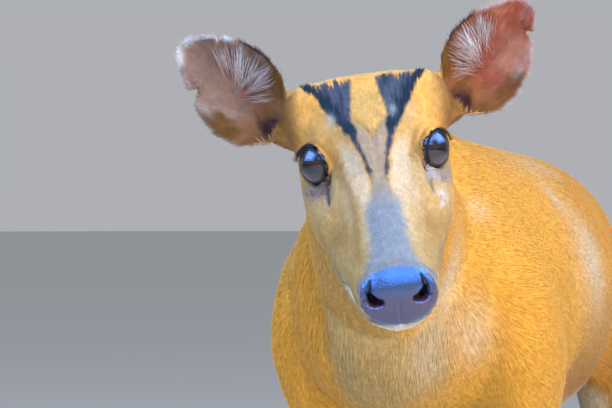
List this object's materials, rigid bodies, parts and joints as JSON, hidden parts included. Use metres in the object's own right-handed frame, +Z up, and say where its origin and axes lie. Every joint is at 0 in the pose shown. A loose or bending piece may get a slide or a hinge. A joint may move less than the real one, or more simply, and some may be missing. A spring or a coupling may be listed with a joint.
{
  "type": "standing muntjac",
  "caption": "Life-size model of a standing red muntjac doe with large ears and no antlers, head turned towards the viewer, on four cloven feet.",
  "frame": {"origin": "on the floor under the middle of the whole animal", "axes": "+Z up, -Y the way the trunk faces, +X towards the animal's left"},
  "size_m": [0.2448, 0.869, 0.5874],
  "materials": {
    "golden_coat": "short golden-orange hair",
    "leg_coat": "short brown hair",
    "nose_leather": "wet, finely grained nose leather",
    "ear_skin": "thin pink skin with pale hairs",
    "dark_eye": "wet gloss",
    "hoof_horn": "satin horn"
  },
  "bodies": {
    "root": {"head": "golden_coat", "neck": "golden_coat", "trunk": "golden_coat", "tail": "golden_coat", "nose": "nose_leather", "ear_left": "ear_skin", "ear_right": "ear_skin", "eye_left": "dark_eye", "eye_right": "dark_eye", "foreleg_left_upper": "golden_coat", "foreleg_left_lower": "leg_coat", "foreleg_left_cannon": "leg_coat", "foreleg_right_upper": "golden_coat", "foreleg_right_lower": "leg_coat", "foreleg_right_cannon": "leg_coat", "hindleg_left_upper": "golden_coat", "hindleg_left_lower": "leg_coat", "hindleg_left_cannon": "leg_coat", "hindleg_right_upper": "golden_coat", "hindleg_right_lower": "leg_coat", "hindleg_right_cannon": "leg_coat", "foreleg_left_hoof_outer": "hoof_horn", "foreleg_left_hoof_inner": "hoof_horn", "foreleg_right_hoof_outer": "hoof_horn", "foreleg_right_hoof_inner": "hoof_horn", "hindleg_left_hoof_outer": "hoof_horn", "hindleg_left_hoof_inner": "hoof_horn", "hindleg_right_hoof_outer": "hoof_horn", "hindleg_right_hoof_inner": "hoof_horn", "foreleg_left_dewclaw_outer": "hoof_horn", "foreleg_left_dewclaw_inner": "hoof_horn", "foreleg_right_dewclaw_outer": "hoof_horn", "foreleg_right_dewclaw_inner": "hoof_horn", "hindleg_left_dewclaw_outer": "hoof_horn", "hindleg_left_dewclaw_inner": "hoof_horn", "hindleg_right_dewclaw_outer": "hoof_horn", "hindleg_right_dewclaw_inner": "hoof_horn"}
  },
  "joints": []
}
